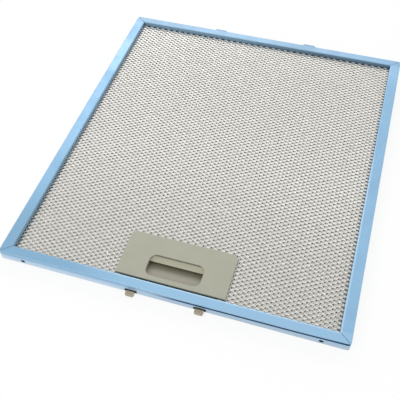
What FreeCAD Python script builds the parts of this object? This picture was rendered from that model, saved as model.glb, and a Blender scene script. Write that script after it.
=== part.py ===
"""Cooker hood grease filter: a folded channel frame round five expanded-metal sheets,
with a sprung finger latch that slides in a cassette behind the front rail.

Millimetres. The filter lies on its back: X runs along the latch side, Y from the latch
side to the lug side, Z up through the thickness. The origin is the middle of the base.
"""
import FreeCAD, Part
import Sketcher
import math
import os

DRIVING_SIZES = {
    # Folded frame
    "frame_width": 267.0,
    "frame_length": 305.0,
    "frame_thickness": 9.0,
    "sheet_gauge": 0.5,
    "bend_inside": 0.2,
    "corner_radius": 2.4,
    "flange_width": 8.9,
    "end_flange_width": 7.7,
    "lip_depth": 4.2,
    "seam_gap": 0.15,
    "drain_spacing": 227.4,
    "drain_level": 3.3,
    "drain_length": 2.8,
    "drain_height": 2.0,
    # Lugs lanced from the rear wall
    "lug_spacing": 90.0,
    "lug_width": 12.0,
    "lug_reach": 4.3,
    "lug_drop": 2.2,
    "lug_corner": 2.0,
    "lance_gap": 0.2,
    # Expanded-metal pack
    "sheet_count": 5,
    "pack_margin": 1.5,
    "strand_gauge": 0.4,
    "strand_pitch": 3.73,
    "inner_pitch": 12.0,
    "gap_length": 16.0,
    "gap_width": 2.2,
    "gap_pitch": 28.0,
    "gap_rows": 7,
    "inner_gap_length": 24.0,
    "inner_gap_width": 5.0,
    "inner_gap_pitch": 84.0,
    # Sliding latch handle
    "latch_travel": 5.0,
    "plate_width": 85.2,
    "plate_length": 39.3,
    "plate_thickness": 1.6,
    "plate_corner": 4.5,
    "plate_edge": 0.5,
    "plate_lift": 0.3,
    "plate_setback": 2.5,
    "scoop_width": 42.6,
    "scoop_length": 18.6,
    "scoop_setback": 3.9,
    "scoop_corner": 5.5,
    "scoop_wall": 1.0,
    "scoop_rim": 1.2,
    "scoop_flat": 1.5,
    "tub_lift": 0.6,
    "grip_step": 1.1,
    "grip_run": 5.2,
    "grip_fall": 1.3,
    "grip_edge": 1.0,
    "grip_undercut": 4.6,
    "tongue_spacing": 52.8,
    "tongue_width": 6.6,
    "tongue_thickness": 1.8,
    "tongue_reach": 4.3,
    "tongue_corner": 1.2,
    "tongue_lift": 0.5,
    "web_setback": 1.0,
    "web_thickness": 2.4,
    "slot_width": 9.4,
    "slot_height": 3.3,
    # Cassette that guides the latch
    "cassette_wall": 2.2,
    "cassette_floor": 1.2,
    "cassette_drop": 0.3,
    "cassette_flange": 4.0,
    "cassette_clearance": 0.3,
    "rail_clearance": 0.5,
    "barb_depth": 1.2,
    "barb_height": 0.8,
    "rib_thickness": 1.4,
    "rib_length": 10.0,
    "rib_setback": 12.5,
    "rib_drop": 2.5,
    # Bowed leaf spring
    "spring_room": 10.0,
    "spring_span": 56.0,
    "spring_gauge": 0.4,
    "spring_width": 2.4,
    "spring_clearance": 0.3,
}

doc = FreeCAD.newDocument("grease_filter")
dims = doc.addObject("Spreadsheet::Sheet", "Dims")
for row, (alias, value) in enumerate(DRIVING_SIZES.items(), start=1):
    dims.set("A%d" % row, alias)
    dims.set("B%d" % row, str(value))
    dims.setAlias("B%d" % row, alias)
doc.recompute()

# Levels and places that the pieces share, as expressions on the sheet
HALF_W = "(Dims.frame_width / 2)"
HALF_L = "(Dims.frame_length / 2)"
OPEN_W = "(Dims.frame_width / 2 - Dims.flange_width)"
OPEN_L = "(Dims.frame_length / 2 - Dims.end_flange_width)"
PACK_TOP = "(Dims.frame_thickness - Dims.lip_depth)"
LAYER = "((%s - Dims.sheet_gauge) / Dims.sheet_count)" % PACK_TOP
FLANGE_LEVEL = "(Dims.sheet_gauge + floor(Dims.sheet_count / 2) * %s)" % LAYER
PLATE_UNDER = "(%s + Dims.plate_lift)" % PACK_TOP
PLATE_TOP = "(%s + Dims.plate_thickness)" % PLATE_UNDER
PLATE_FRONT = "(Dims.plate_setback - %s)" % OPEN_L
PLATE_REAR = "(%s + Dims.plate_length)" % PLATE_FRONT
SCOOP_FRONT = "(%s + Dims.scoop_setback)" % PLATE_FRONT
SCOOP_REAR = "(%s + Dims.scoop_length)" % SCOOP_FRONT
SCOOP_FLOOR = "(Dims.tub_lift + Dims.scoop_wall)"
TUB_REAR = "(%s + Dims.scoop_wall)" % SCOOP_REAR
TONGUE_UNDER = "(Dims.sheet_gauge + Dims.tongue_lift)"
WEB_FRONT = "(%s + Dims.web_setback)" % PLATE_FRONT
WEB_REAR = "(%s + Dims.web_thickness)" % WEB_FRONT
BAY_FRONT = "(%s - Dims.cassette_clearance)" % WEB_FRONT
BAY_REAR = "(%s + Dims.spring_room)" % TUB_REAR
CASSETTE_REAR = "(%s + Dims.cassette_wall)" % BAY_REAR
RIB_OUTER = "(Dims.tongue_spacing / 2 + Dims.tongue_width / 2 + Dims.rail_clearance + 2 * Dims.rib_thickness)"
BAY_HALF = "(%s + Dims.rail_clearance)" % RIB_OUTER
CASSETTE_HALF = "(%s + Dims.cassette_wall)" % BAY_HALF
CASSETTE_TOP = "(%s - Dims.cassette_drop)" % PACK_TOP
RIB_FRONT = "(%s + Dims.rib_setback)" % PLATE_FRONT
RIB_UNDER = "(%s - Dims.rib_drop)" % PLATE_UNDER

PLANE_TURNS = {
    "XY_Plane": FreeCAD.Rotation(),
    "XZ_Plane": FreeCAD.Rotation(FreeCAD.Vector(1, 0, 0), 90),
    "YZ_Plane": FreeCAD.Rotation(FreeCAD.Vector(1, 1, 1), 120),
}


def number(expression):
    """Value of an expression on the sheet."""
    return float(dims.evalExpression(expression))


def body_sketch(body, name, plane, offset="0"):
    """Sketch on one of a body's origin planes, moved along the plane's normal."""
    sketch = body.newObject("Sketcher::SketchObject", name)
    support = [item for item in body.Origin.OriginFeatures if item.Role == plane][0]
    sketch.AttachmentSupport = [(support, "")]
    sketch.MapMode = "FlatFace"
    sketch.setExpression("AttachmentOffset.Base.z", offset)
    return sketch


def free_sketch(name, plane):
    """Sketch that stands by itself on a plane through the origin."""
    sketch = doc.addObject("Sketcher::SketchObject", name)
    sketch.Placement = FreeCAD.Placement(FreeCAD.Vector(), PLANE_TURNS[plane])
    return sketch


def pin(sketch, geometry, point, across, up):
    """Hold one point of a sketch at two expressions from the origin."""
    for kind, expression in (("DistanceX", across), ("DistanceY", up)):
        constraint = Sketcher.Constraint(kind, -1, 1, geometry, point, number(expression))
        index = sketch.addConstraint(constraint)
        sketch.setExpression("Constraints[%d]" % index, expression)


def set_radius(sketch, arc, radius):
    """Hold the radius of an arc at an expression."""
    index = sketch.addConstraint(Sketcher.Constraint("Radius", arc, number(radius)))
    sketch.setExpression("Constraints[%d]" % index, radius)


def polygon(sketch, corners):
    """Closed outline of straight lines through corners given as expressions."""
    points = [FreeCAD.Vector(number(across), number(up), 0) for across, up in corners]
    first = sketch.GeometryCount
    count = len(points)
    for index in range(count):
        line = Part.LineSegment(points[index], points[(index + 1) % count])
        sketch.addGeometry(line, False)
    for index in range(count):
        following = first + (index + 1) % count
        sketch.addConstraint(Sketcher.Constraint("Coincident", first + index, 2, following, 1))
        pin(sketch, first + index, 1, *corners[index])


def rectangle(sketch, left, right, low, high):
    """Closed rectangle between four expressions."""
    polygon(sketch, [(left, low), (right, low), (right, high), (left, high)])


def mirrored_rectangles(sketch, centre, half, low, high):
    """One rectangle each side of the middle, at the same distance from it."""
    for side in ("-", ""):
        left = "(%s%s - %s)" % (side, centre, half)
        right = "(%s%s + %s)" % (side, centre, half)
        rectangle(sketch, left, right, low, high)


def rounded_rectangle(sketch, left, right, low, high, radius):
    """Closed rectangle with four equal rounded corners."""
    turn = number(radius)
    west, east, south, north = number(left), number(right), number(low), number(high)
    inner = {
        "left": "(%s + %s)" % (left, radius),
        "right": "(%s - %s)" % (right, radius),
        "low": "(%s + %s)" % (low, radius),
        "high": "(%s - %s)" % (high, radius),
    }
    corner_centres = [
        (inner["right"], inner["low"]),
        (inner["right"], inner["high"]),
        (inner["left"], inner["high"]),
        (inner["left"], inner["low"]),
    ]
    sides = [
        ((west + turn, south), (east - turn, south)),
        ((east, south + turn), (east, north - turn)),
        ((east - turn, north), (west + turn, north)),
        ((west, north - turn), (west, south + turn)),
    ]
    first = sketch.GeometryCount
    for index in range(4):
        start, end = sides[index]
        line = Part.LineSegment(FreeCAD.Vector(*start, 0), FreeCAD.Vector(*end, 0))
        sketch.addGeometry(line, False)
        across, up = corner_centres[index]
        circle = Part.Circle(FreeCAD.Vector(number(across), number(up), 0), FreeCAD.Vector(0, 0, 1), turn)
        opening = math.radians(90 * index - 90)
        sketch.addGeometry(Part.ArcOfCircle(circle, opening, opening + math.pi / 2), False)
    for index in range(4):
        line = first + 2 * index
        arc = line + 1
        following = first + (2 * index + 2) % 8
        sketch.addConstraint(Sketcher.Constraint("Tangent", line, 2, arc, 1))
        sketch.addConstraint(Sketcher.Constraint("Tangent", arc, 2, following, 1))
    for index in range(4):
        arc = first + 2 * index + 1
        pin(sketch, arc, 3, *corner_centres[index])
        set_radius(sketch, arc, radius)


def centred_rounded_rectangle(sketch, half_across, half_up, radius):
    """Rounded rectangle about the sketch's origin."""
    rounded_rectangle(sketch, "-" + half_across, half_across, "-" + half_up, half_up, radius)


def pad(body, sketch, length, reverse=False):
    """Add a sketch's area, drawn out along the sketch's normal."""
    feature = body.newObject("PartDesign::Pad", sketch.Name + "_pad")
    feature.Profile = sketch
    feature.setExpression("Length", length)
    feature.Reversed = reverse
    doc.recompute()
    return feature


def pocket(body, sketch, length, reverse=False):
    """Cut a sketch's area, against the sketch's normal unless reversed."""
    before = body.Shape.Volume
    feature = body.newObject("PartDesign::Pocket", sketch.Name + "_pocket")
    feature.Profile = sketch
    feature.setExpression("Length", length)
    feature.Reversed = reverse
    doc.recompute()
    if body.Shape.Volume >= before:
        raise RuntimeError("%s cuts nothing" % sketch.Name)
    return feature


def dress(body, name, kind, size_name, size, chosen):
    """Fillet or chamfer the edges of a body that pass a test."""
    base = body.Tip
    edges = []
    for index, edge in enumerate(base.Shape.Edges, start=1):
        if chosen(edge):
            edges.append("Edge%d" % index)
    feature = body.newObject(kind, name)
    feature.Base = (base, edges)
    feature.setExpression(size_name, size)
    doc.recompute()
    return feature


def fillet(body, name, radius, chosen):
    """Round the edges of a body that pass a test."""
    return dress(body, name, "PartDesign::Fillet", "Radius", radius, chosen)


def chamfer(body, name, size, chosen):
    """Bevel the edges of a body that pass a test."""
    return dress(body, name, "PartDesign::Chamfer", "Size", size, chosen)


def near(value, expression):
    """Whether a length is the value of an expression."""
    return abs(value - number(expression)) < 1e-4


def is_level(edge, expression):
    """Whether an edge lies flat at a height."""
    box = edge.BoundBox
    return near(box.ZMin, expression) and near(box.ZMax, expression)


def is_upright(edge):
    """Whether an edge is straight and vertical."""
    box = edge.BoundBox
    return box.XLength < 1e-4 and box.YLength < 1e-4


def on_ring(edge, half_across, half_up, radius):
    """Whether an edge lies on the outline of a centred rounded rectangle."""
    across = max(abs(edge.BoundBox.XMin), abs(edge.BoundBox.XMax))
    up = max(abs(edge.BoundBox.YMin), abs(edge.BoundBox.YMax))
    side = near(across, half_across) and edge.BoundBox.XLength < number(radius) + 1e-4
    end = near(up, half_up) and edge.BoundBox.YLength < number(radius) + 1e-4
    return side or end


def make_frame():
    """Channel folded round the pack: wall, two flanges and a lip turned in over the sheets."""
    body = doc.addObject("PartDesign::Body", "frame")
    outline = body_sketch(body, "frame_outline", "XY_Plane")
    centred_rounded_rectangle(outline, HALF_W, HALF_L, "Dims.corner_radius")
    pad(body, outline, "Dims.frame_thickness")

    opening = body_sketch(body, "frame_opening", "XY_Plane", "Dims.frame_thickness")
    rectangle(opening, "-" + OPEN_W, OPEN_W, "-" + OPEN_L, OPEN_L)
    pocket(body, opening, "Dims.frame_thickness")

    inner_w = "(%s - Dims.sheet_gauge)" % HALF_W
    inner_l = "(%s - Dims.sheet_gauge)" % HALF_L
    inner_corner = "(Dims.corner_radius - Dims.sheet_gauge)"
    ceiling = "(Dims.frame_thickness - Dims.sheet_gauge)"
    channel = body_sketch(body, "frame_channel", "XY_Plane", ceiling)
    centred_rounded_rectangle(channel, inner_w, inner_l, inner_corner)
    pocket(body, channel, "(Dims.frame_thickness - 2 * Dims.sheet_gauge)")

    lip = body_sketch(body, "frame_lip", "XY_Plane", PACK_TOP)
    lip_w = "(%s + Dims.sheet_gauge)" % OPEN_W
    lip_l = "(%s + Dims.sheet_gauge)" % OPEN_L
    rectangle(lip, "-" + lip_w, lip_w, "-" + lip_l, lip_l)
    rectangle(lip, "-" + OPEN_W, OPEN_W, "-" + OPEN_L, OPEN_L)
    pad(body, lip, "Dims.lip_depth")

    bend_outside = "(Dims.bend_inside + Dims.sheet_gauge)"

    def outer_bend(edge):
        level = is_level(edge, "0") or is_level(edge, "Dims.frame_thickness")
        return level and on_ring(edge, HALF_W, HALF_L, "Dims.corner_radius")

    def inner_bend(edge):
        level = is_level(edge, "Dims.sheet_gauge") or is_level(edge, ceiling)
        return level and on_ring(edge, inner_w, inner_l, inner_corner)

    def lip_bend(edge):
        return is_level(edge, "Dims.frame_thickness") and on_ring(edge, OPEN_W, OPEN_L, "0")

    fillet(body, "frame_outer_bend", bend_outside, outer_bend)
    # A bevel across the hidden side of the bend keeps the sheet one gauge thick there
    chamfer(body, "frame_inner_bend", "(Dims.bend_inside * (2 - sqrt(2)))", inner_bend)
    fillet(body, "frame_lip_bend", bend_outside, lip_bend)
    cut_mitre_seams(body)
    cut_front_wall(body)
    add_rear_lugs(body)
    return body


def cut_mitre_seams(body):
    """Mitred seams where the flanges of two rails meet at each corner."""
    seams = body_sketch(body, "mitre_seams", "XY_Plane", "Dims.frame_thickness")
    half = "(Dims.seam_gap / sqrt(2))"
    stop = "((Dims.corner_radius - Dims.sheet_gauge) / sqrt(2) - Dims.corner_radius - Dims.seam_gap)"
    for across in ("-", ""):
        for up in ("-", ""):
            inner_x = "%s(%s - 2 * Dims.seam_gap)" % (across, OPEN_W)
            inner_y = "%s(%s - 2 * Dims.seam_gap)" % (up, OPEN_L)
            outer_x = "%s(%s + %s)" % (across, HALF_W, stop)
            outer_y = "%s(%s + %s)" % (up, HALF_L, stop)
            lean = "" if across == up else "-"
            corners = [
                ("%s - %s" % (inner_x, half), "%s + %s%s" % (inner_y, lean, half)),
                ("%s + %s" % (inner_x, half), "%s - %s%s" % (inner_y, lean, half)),
                ("%s + %s" % (outer_x, half), "%s - %s%s" % (outer_y, lean, half)),
                ("%s - %s" % (outer_x, half), "%s + %s%s" % (outer_y, lean, half)),
            ]
            polygon(seams, corners)
    pocket(body, seams, "Dims.frame_thickness")


def cut_front_wall(body):
    """Slots for the latch tongues and two small drain holes."""
    depth = "(Dims.sheet_gauge + Dims.bend_inside)"
    slots = body_sketch(body, "tongue_slots", "XZ_Plane", HALF_L)
    slot_top = "(Dims.sheet_gauge + Dims.slot_height)"
    mirrored_rectangles(slots, "Dims.tongue_spacing / 2", "Dims.slot_width / 2", "Dims.sheet_gauge", slot_top)
    pocket(body, slots, depth)

    drains = body_sketch(body, "drain_holes", "XZ_Plane", HALF_L)
    low = "(Dims.drain_level - Dims.drain_height / 2)"
    high = "(Dims.drain_level + Dims.drain_height / 2)"
    for side in ("-", ""):
        left = "(%sDims.drain_spacing / 2 - Dims.drain_length / 2)" % side
        right = "(%sDims.drain_spacing / 2 + Dims.drain_length / 2)" % side
        rounded_rectangle(drains, left, right, low, high, "(0.49 * Dims.drain_height)")
    pocket(body, drains, depth)


def add_rear_lugs(body):
    """Two tabs lanced from the rear wall and bent out, with the windows they leave."""
    tab_top = "(Dims.frame_thickness - Dims.lug_drop)"
    tab_under = "(%s - Dims.sheet_gauge)" % tab_top
    windows = body_sketch(body, "lug_windows", "XZ_Plane", "-" + HALF_L)
    half = "(Dims.lug_width / 2 + Dims.lance_gap)"
    window_low = "(%s - Dims.lug_reach)" % tab_under
    mirrored_rectangles(windows, "Dims.lug_spacing / 2", half, window_low, tab_under)
    pocket(body, windows, "(Dims.sheet_gauge + Dims.bend_inside)", reverse=True)

    tabs = body_sketch(body, "lug_tabs", "XY_Plane", tab_under)
    tip = "(%s + Dims.lug_reach)" % HALF_L
    root = "(%s - Dims.sheet_gauge)" % HALF_L
    mirrored_rectangles(tabs, "Dims.lug_spacing / 2", "Dims.lug_width / 2", root, tip)
    pad(body, tabs, "Dims.sheet_gauge")

    def tip_corner(edge):
        return is_upright(edge) and near(edge.BoundBox.YMax, tip)

    fillet(body, "lug_corners", "Dims.lug_corner", tip_corner)


def ridged_profile(pitch, reach, low, wall, high, flip):
    """Section of a sheet across its strands: a thin web with a row of pointed strands on one face."""
    count = int(2 * reach / pitch)
    start = -count * pitch / 2
    points = [(-reach, low), (-reach, low + wall)]
    for index in range(count):
        points.append((start + index * pitch, low + wall))
        points.append((start + (index + 0.5) * pitch, high))
    points.append((start + count * pitch, low + wall))
    points.append((reach, low + wall))
    points.append((reach, low))
    if flip:
        points = [(along, low + high - level) for along, level in points]
    cleaned = [points[0]]
    for point in points[1:]:
        if math.dist(point, cleaned[-1]) > 1e-6:
            cleaned.append(point)
    return cleaned


def lozenge_gaps(length, width, pitch, row_pitch, reach_x, reach_y, low, high):
    """Staggered rows of pointed gaps between the strands, kept clear of the sheet's edges."""
    prisms = []
    rows = int((reach_y - row_pitch / 2) / row_pitch)
    for row in range(-rows, rows + 1):
        shift = 0.5 * (row % 2)
        columns = int((reach_x - length / 2) / pitch + 1)
        for column in range(-columns, columns + 1):
            centre_x = (column + shift) * pitch
            if abs(centre_x) + length / 2 > reach_x:
                continue
            centre_y = row * row_pitch
            corners = [
                FreeCAD.Vector(centre_x - length / 2, centre_y, low),
                FreeCAD.Vector(centre_x, centre_y - width / 2, low),
                FreeCAD.Vector(centre_x + length / 2, centre_y, low),
                FreeCAD.Vector(centre_x, centre_y + width / 2, low),
            ]
            wire = Part.makePolygon(corners + corners[:1])
            prisms.append(Part.Face(wire).extrude(FreeCAD.Vector(0, 0, high - low)))
    return prisms


def make_sheet(label, layer, fine, flip):
    """One expanded-metal sheet of the pack, notched where the latch cassette sits."""
    layer_height = number(LAYER)
    low = number("Dims.sheet_gauge") + layer * layer_height
    high = low + layer_height
    margin = "(Dims.sheet_gauge + Dims.pack_margin)"
    reach_x = number("%s - %s" % (HALF_W, margin))
    reach_y = number("%s - %s" % (HALF_L, margin))
    pitch = number("Dims.strand_pitch" if fine else "Dims.inner_pitch")
    section = ridged_profile(pitch, reach_y, low, number("Dims.strand_gauge"), high, flip)
    points = [FreeCAD.Vector(-reach_x, along, level) for along, level in section]
    face = Part.Face(Part.makePolygon(points + points[:1]))
    sheet = face.extrude(FreeCAD.Vector(2 * reach_x, 0, 0))

    half = CASSETTE_HALF
    rear = CASSETTE_REAR
    if layer == int(number("Dims.sheet_count") / 2):
        half = "(%s + Dims.cassette_flange)" % half
        rear = "(%s + Dims.cassette_flange)" % rear
    notch_half = number("%s + Dims.cassette_clearance" % half)
    notch_rear = number("%s + Dims.cassette_clearance" % rear)
    notch = Part.makeBox(
        2 * notch_half,
        notch_rear + reach_y + layer_height,
        layer_height * 3,
        FreeCAD.Vector(-notch_half, -reach_y - layer_height, low - layer_height),
    )

    # The gaps lie in the valleys between strands, inside the frame's opening
    kind = "gap" if fine else "inner_gap"
    length = number("Dims.%s_length" % kind)
    row_pitch = pitch * number("Dims.gap_rows") if fine else pitch * 4
    valley = 0.5 * pitch if int(2 * reach_y / pitch) % 2 else 0.0
    gaps = lozenge_gaps(
        length,
        number("Dims.%s_width" % kind),
        number("Dims.%s_pitch" % kind),
        row_pitch,
        number(OPEN_W) - pitch,
        number(OPEN_L) - pitch,
        low - layer_height,
        high + layer_height,
    )
    keep_out = notch_rear + pitch
    clear = []
    for gap in gaps:
        gap.translate(FreeCAD.Vector(0, valley, 0))
        box = gap.BoundBox
        beside_notch = min(abs(box.XMin), abs(box.XMax), abs(box.Center.x)) < notch_half + pitch
        if box.YMin < keep_out and beside_notch:
            continue
        clear.append(gap)
    sheet = sheet.cut(Part.makeCompound(clear + [notch]))
    piece = doc.addObject("Part::Feature", label)
    piece.Shape = sheet.Solids[0] if len(sheet.Solids) == 1 else sheet
    piece.Placement = FreeCAD.Placement()
    return piece


def section_outline(sketch, front, rear, top, floor, step_out):
    """Closed section of the scoop, from its front rim down a round floor and under the grip."""
    grip_y = "(%s - Dims.grip_run)" % SCOOP_REAR
    grip_z = "(%s - Dims.grip_step - Dims.grip_fall)" % PLATE_TOP
    under_z = "(%s - Dims.grip_edge)" % grip_z
    flat_end = "(%s - Dims.scoop_flat)" % grip_y
    rim_z = "(%s - Dims.scoop_rim)" % PLATE_TOP
    if step_out:
        lines = [(flat_end, floor), (rear, floor), (rear, top), (front, top), (front, rim_z)]
    else:
        under_y = "(%s + Dims.grip_undercut)" % grip_y
        step_z = "(%s - Dims.grip_step)" % PLATE_TOP
        lines = [
            (flat_end, floor),
            (under_y, floor),
            (under_y, under_z),
            (grip_y, under_z),
            (grip_y, grip_z),
            (rear, step_z),
            (rear, top),
            (front, top),
            (front, rim_z),
        ]
    points = [FreeCAD.Vector(number(along), number(level), 0) for along, level in lines]
    for index in range(len(points) - 1):
        sketch.addGeometry(Part.LineSegment(points[index], points[index + 1]), False)
    run = points[0].x - points[-1].x
    rise = points[-1].y - points[0].y
    radius = (run * run + rise * rise) / (2 * rise)
    sweep = math.asin(run / radius)
    middle = FreeCAD.Vector(points[0].x, points[0].y + radius, 0)
    circle = Part.Circle(middle, FreeCAD.Vector(0, 0, 1), radius)
    arc = sketch.addGeometry(Part.ArcOfCircle(circle, -math.pi / 2 - sweep, -math.pi / 2), False)
    for index in range(len(points) - 2):
        sketch.addConstraint(Sketcher.Constraint("Coincident", index, 2, index + 1, 1))
    for index in range(len(points) - 1):
        pin(sketch, index, 1, *lines[index])
    pin(sketch, len(points) - 2, 2, *lines[-1])
    sketch.addConstraint(Sketcher.Constraint("Coincident", len(points) - 2, 2, arc, 1))
    sketch.addConstraint(Sketcher.Constraint("Tangent", arc, 2, 0, 1))


def extrusion(name, sketch, forward, backward, direction):
    """Solid drawn out of a free sketch both ways along a direction."""
    solid = doc.addObject("Part::Extrusion", name)
    solid.Base = sketch
    solid.DirMode = "Custom"
    solid.Dir = direction
    solid.Solid = True
    solid.setExpression("LengthFwd", forward)
    solid.setExpression("LengthRev", backward)
    return solid


def scoop_form(name, wall, top, floor, step_out):
    """The scoop's section rounded to its outline in plan, grown by a wall."""
    half = "(Dims.scoop_width / 2 + %s)" % wall
    front = "(%s - %s)" % (SCOOP_FRONT, wall)
    rear = "(%s + %s)" % (SCOOP_REAR, wall)
    section = free_sketch(name + "_section", "YZ_Plane")
    section_outline(section, front, rear, top, floor, step_out)
    outline = free_sketch(name + "_outline", "XY_Plane")
    rounded_rectangle(outline, "-" + half, half, front, rear, "(Dims.scoop_corner + %s)" % wall)
    prism = extrusion(name + "_prism", section, half, half, FreeCAD.Vector(1, 0, 0))
    column = extrusion(name + "_column", outline, "2 * Dims.frame_thickness", "0", FreeCAD.Vector(0, 0, 1))
    form = doc.addObject("Part::Common", name)
    form.Base = prism
    form.Tool = column
    return form


def make_handle():
    """Moulded latch slide: cover plate, undercut finger scoop, two tongues and two guide ribs."""
    body = doc.addObject("PartDesign::Body", "handle_plate")
    half = "(Dims.plate_width / 2)"
    plate = body_sketch(body, "plate_outline", "XY_Plane", PLATE_UNDER)
    rectangle(plate, "-" + half, half, PLATE_FRONT, PLATE_REAR)
    pad(body, plate, "Dims.plate_thickness")

    def rear_corner(edge):
        return is_upright(edge) and near(edge.BoundBox.YMax, PLATE_REAR)

    def top_rim(edge):
        return is_level(edge, PLATE_TOP)

    fillet(body, "plate_corners", "Dims.plate_corner", rear_corner)
    fillet(body, "plate_rim", "Dims.plate_edge", top_rim)

    centre = "Dims.tongue_spacing / 2"
    tongue_half = "Dims.tongue_width / 2"
    webs = body_sketch(body, "tongue_webs", "XY_Plane", TONGUE_UNDER)
    mirrored_rectangles(webs, centre, tongue_half, WEB_FRONT, WEB_REAR)
    pad(body, webs, "(%s - %s)" % (PLATE_UNDER, TONGUE_UNDER))

    tip = "(-%s - Dims.tongue_reach)" % HALF_L
    tongues = body_sketch(body, "tongues", "XY_Plane", TONGUE_UNDER)
    mirrored_rectangles(tongues, centre, tongue_half, tip, WEB_REAR)
    pad(body, tongues, "Dims.tongue_thickness")

    def tongue_tip(edge):
        return is_upright(edge) and near(edge.BoundBox.YMin, tip)

    fillet(body, "tongue_corners", "Dims.tongue_corner", tongue_tip)

    rib_centre = "(%s - Dims.rib_thickness / 2)" % RIB_OUTER
    rib_rear = "(%s + Dims.rib_length)" % RIB_FRONT
    ribs = body_sketch(body, "guide_ribs", "XY_Plane", RIB_UNDER)
    mirrored_rectangles(ribs, rib_centre, "Dims.rib_thickness / 2", RIB_FRONT, rib_rear)
    pad(body, ribs, "Dims.rib_drop")

    barb_centre = "(%s + Dims.barb_depth / 2)" % RIB_OUTER
    barbs = body_sketch(body, "guide_barbs", "XY_Plane", RIB_UNDER)
    mirrored_rectangles(barbs, barb_centre, "Dims.barb_depth / 2", RIB_FRONT, rib_rear)
    pad(body, barbs, "Dims.barb_height")

    tub = scoop_form("tub", "Dims.scoop_wall", PLATE_UNDER, "Dims.tub_lift", True)
    hollow = scoop_form("hollow", "0", "2 * Dims.frame_thickness", SCOOP_FLOOR, False)
    whole = doc.addObject("Part::Fuse", "handle_blank")
    whole.Base = body
    whole.Tool = tub
    handle = doc.addObject("Part::Cut", "handle")
    handle.Base = whole
    handle.Tool = hollow
    return handle


def make_cassette():
    """Moulded tray held in the front channel and between the sheets, which guides the latch."""
    body = doc.addObject("PartDesign::Body", "latch_cassette")
    front = "(Dims.sheet_gauge + Dims.bend_inside + Dims.lance_gap - %s)" % HALF_L
    block = body_sketch(body, "cassette_block", "XY_Plane", "Dims.sheet_gauge")
    rectangle(block, "-" + CASSETTE_HALF, CASSETTE_HALF, front, CASSETTE_REAR)
    pad(body, block, "(%s - Dims.sheet_gauge)" % CASSETTE_TOP)

    flange_half = "(%s + Dims.cassette_flange)" % CASSETTE_HALF
    flange_rear = "(%s + Dims.cassette_flange)" % CASSETTE_REAR
    flange = body_sketch(body, "cassette_flange", "XY_Plane", FLANGE_LEVEL)
    rectangle(flange, "-" + flange_half, flange_half, BAY_FRONT, flange_rear)
    pad(body, flange, LAYER)

    floor_top = "(Dims.sheet_gauge + Dims.cassette_floor)"
    bay = body_sketch(body, "cassette_bay", "XY_Plane", CASSETTE_TOP)
    rectangle(bay, "-" + BAY_HALF, BAY_HALF, BAY_FRONT, BAY_REAR)
    pocket(body, bay, "(%s - %s)" % (CASSETTE_TOP, floor_top))

    tub_half = "(Dims.scoop_width / 2 + Dims.scoop_wall + Dims.rail_clearance)"
    tub_stop = "(%s + Dims.latch_travel + Dims.rail_clearance)" % TUB_REAR
    tub_window = body_sketch(body, "tub_window", "XY_Plane", floor_top)
    rectangle(tub_window, "-" + tub_half, tub_half, BAY_FRONT, tub_stop)
    pocket(body, tub_window, "Dims.cassette_floor")

    web_half = "(Dims.tongue_spacing / 2 + Dims.tongue_width / 2 + Dims.rail_clearance)"
    web_stop = "(%s + Dims.latch_travel + Dims.rail_clearance)" % WEB_REAR
    web_window = body_sketch(body, "web_window", "XY_Plane", floor_top)
    rectangle(web_window, "-" + web_half, web_half, BAY_FRONT, web_stop)
    pocket(body, web_window, "Dims.cassette_floor")

    channel_top = "(%s + Dims.tongue_thickness + Dims.rail_clearance)" % TONGUE_UNDER
    channels = body_sketch(body, "tongue_channels", "XY_Plane", channel_top)
    channel_half = "(Dims.tongue_width / 2 + Dims.rail_clearance)"
    mirrored_rectangles(channels, "Dims.tongue_spacing / 2", channel_half, front, BAY_FRONT)
    pocket(body, channels, "(%s - Dims.sheet_gauge)" % channel_top)

    groove_top = "(%s + Dims.barb_height + Dims.rail_clearance)" % RIB_UNDER
    groove_half = "(%s + Dims.barb_depth + Dims.rail_clearance)" % RIB_OUTER
    groove_front = "(%s - Dims.rail_clearance)" % RIB_FRONT
    groove_rear = "(%s + Dims.rib_length + Dims.latch_travel + Dims.rail_clearance)" % RIB_FRONT
    grooves = body_sketch(body, "guide_grooves", "XY_Plane", groove_top)
    rectangle(grooves, "-" + groove_half, groove_half, groove_front, groove_rear)
    pocket(body, grooves, "(Dims.barb_height + 2 * Dims.rail_clearance)")
    return body


def make_spring():
    """Bowed strip of spring steel between the scoop's back wall and the cassette."""
    sag = "(Dims.spring_room - 2 * Dims.spring_clearance - Dims.spring_gauge)"
    half = "(Dims.spring_span / 2)"
    inner = "((%s ^ 2 + %s ^ 2) / (2 * %s))" % (half, sag, sag)
    outer = "(%s + Dims.spring_gauge)" % inner
    centre = "(%s + Dims.spring_clearance + %s)" % (TUB_REAR, outer)
    level = "(Dims.sheet_gauge + Dims.cassette_floor + Dims.spring_clearance)"
    sectors = []
    for name, radius in (("spring_outer", outer), ("spring_inner", inner)):
        sector = doc.addObject("Part::Cylinder", name)
        sector.setExpression("Radius", radius)
        sector.setExpression("Height", "Dims.spring_width")
        sector.setExpression("Angle", "2 * asin(%s / %s)" % (half, inner))
        sector.Placement.Rotation = FreeCAD.Rotation(FreeCAD.Vector(0, 0, 1), -90)
        sector.setExpression("Placement.Rotation.Angle", "270 deg - asin(%s / %s)" % (half, inner))
        sector.setExpression("Placement.Base.y", centre)
        sector.setExpression("Placement.Base.z", level)
        sectors.append(sector)
    spring = doc.addObject("Part::Cut", "return_spring")
    spring.Base, spring.Tool = sectors
    return spring


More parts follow.
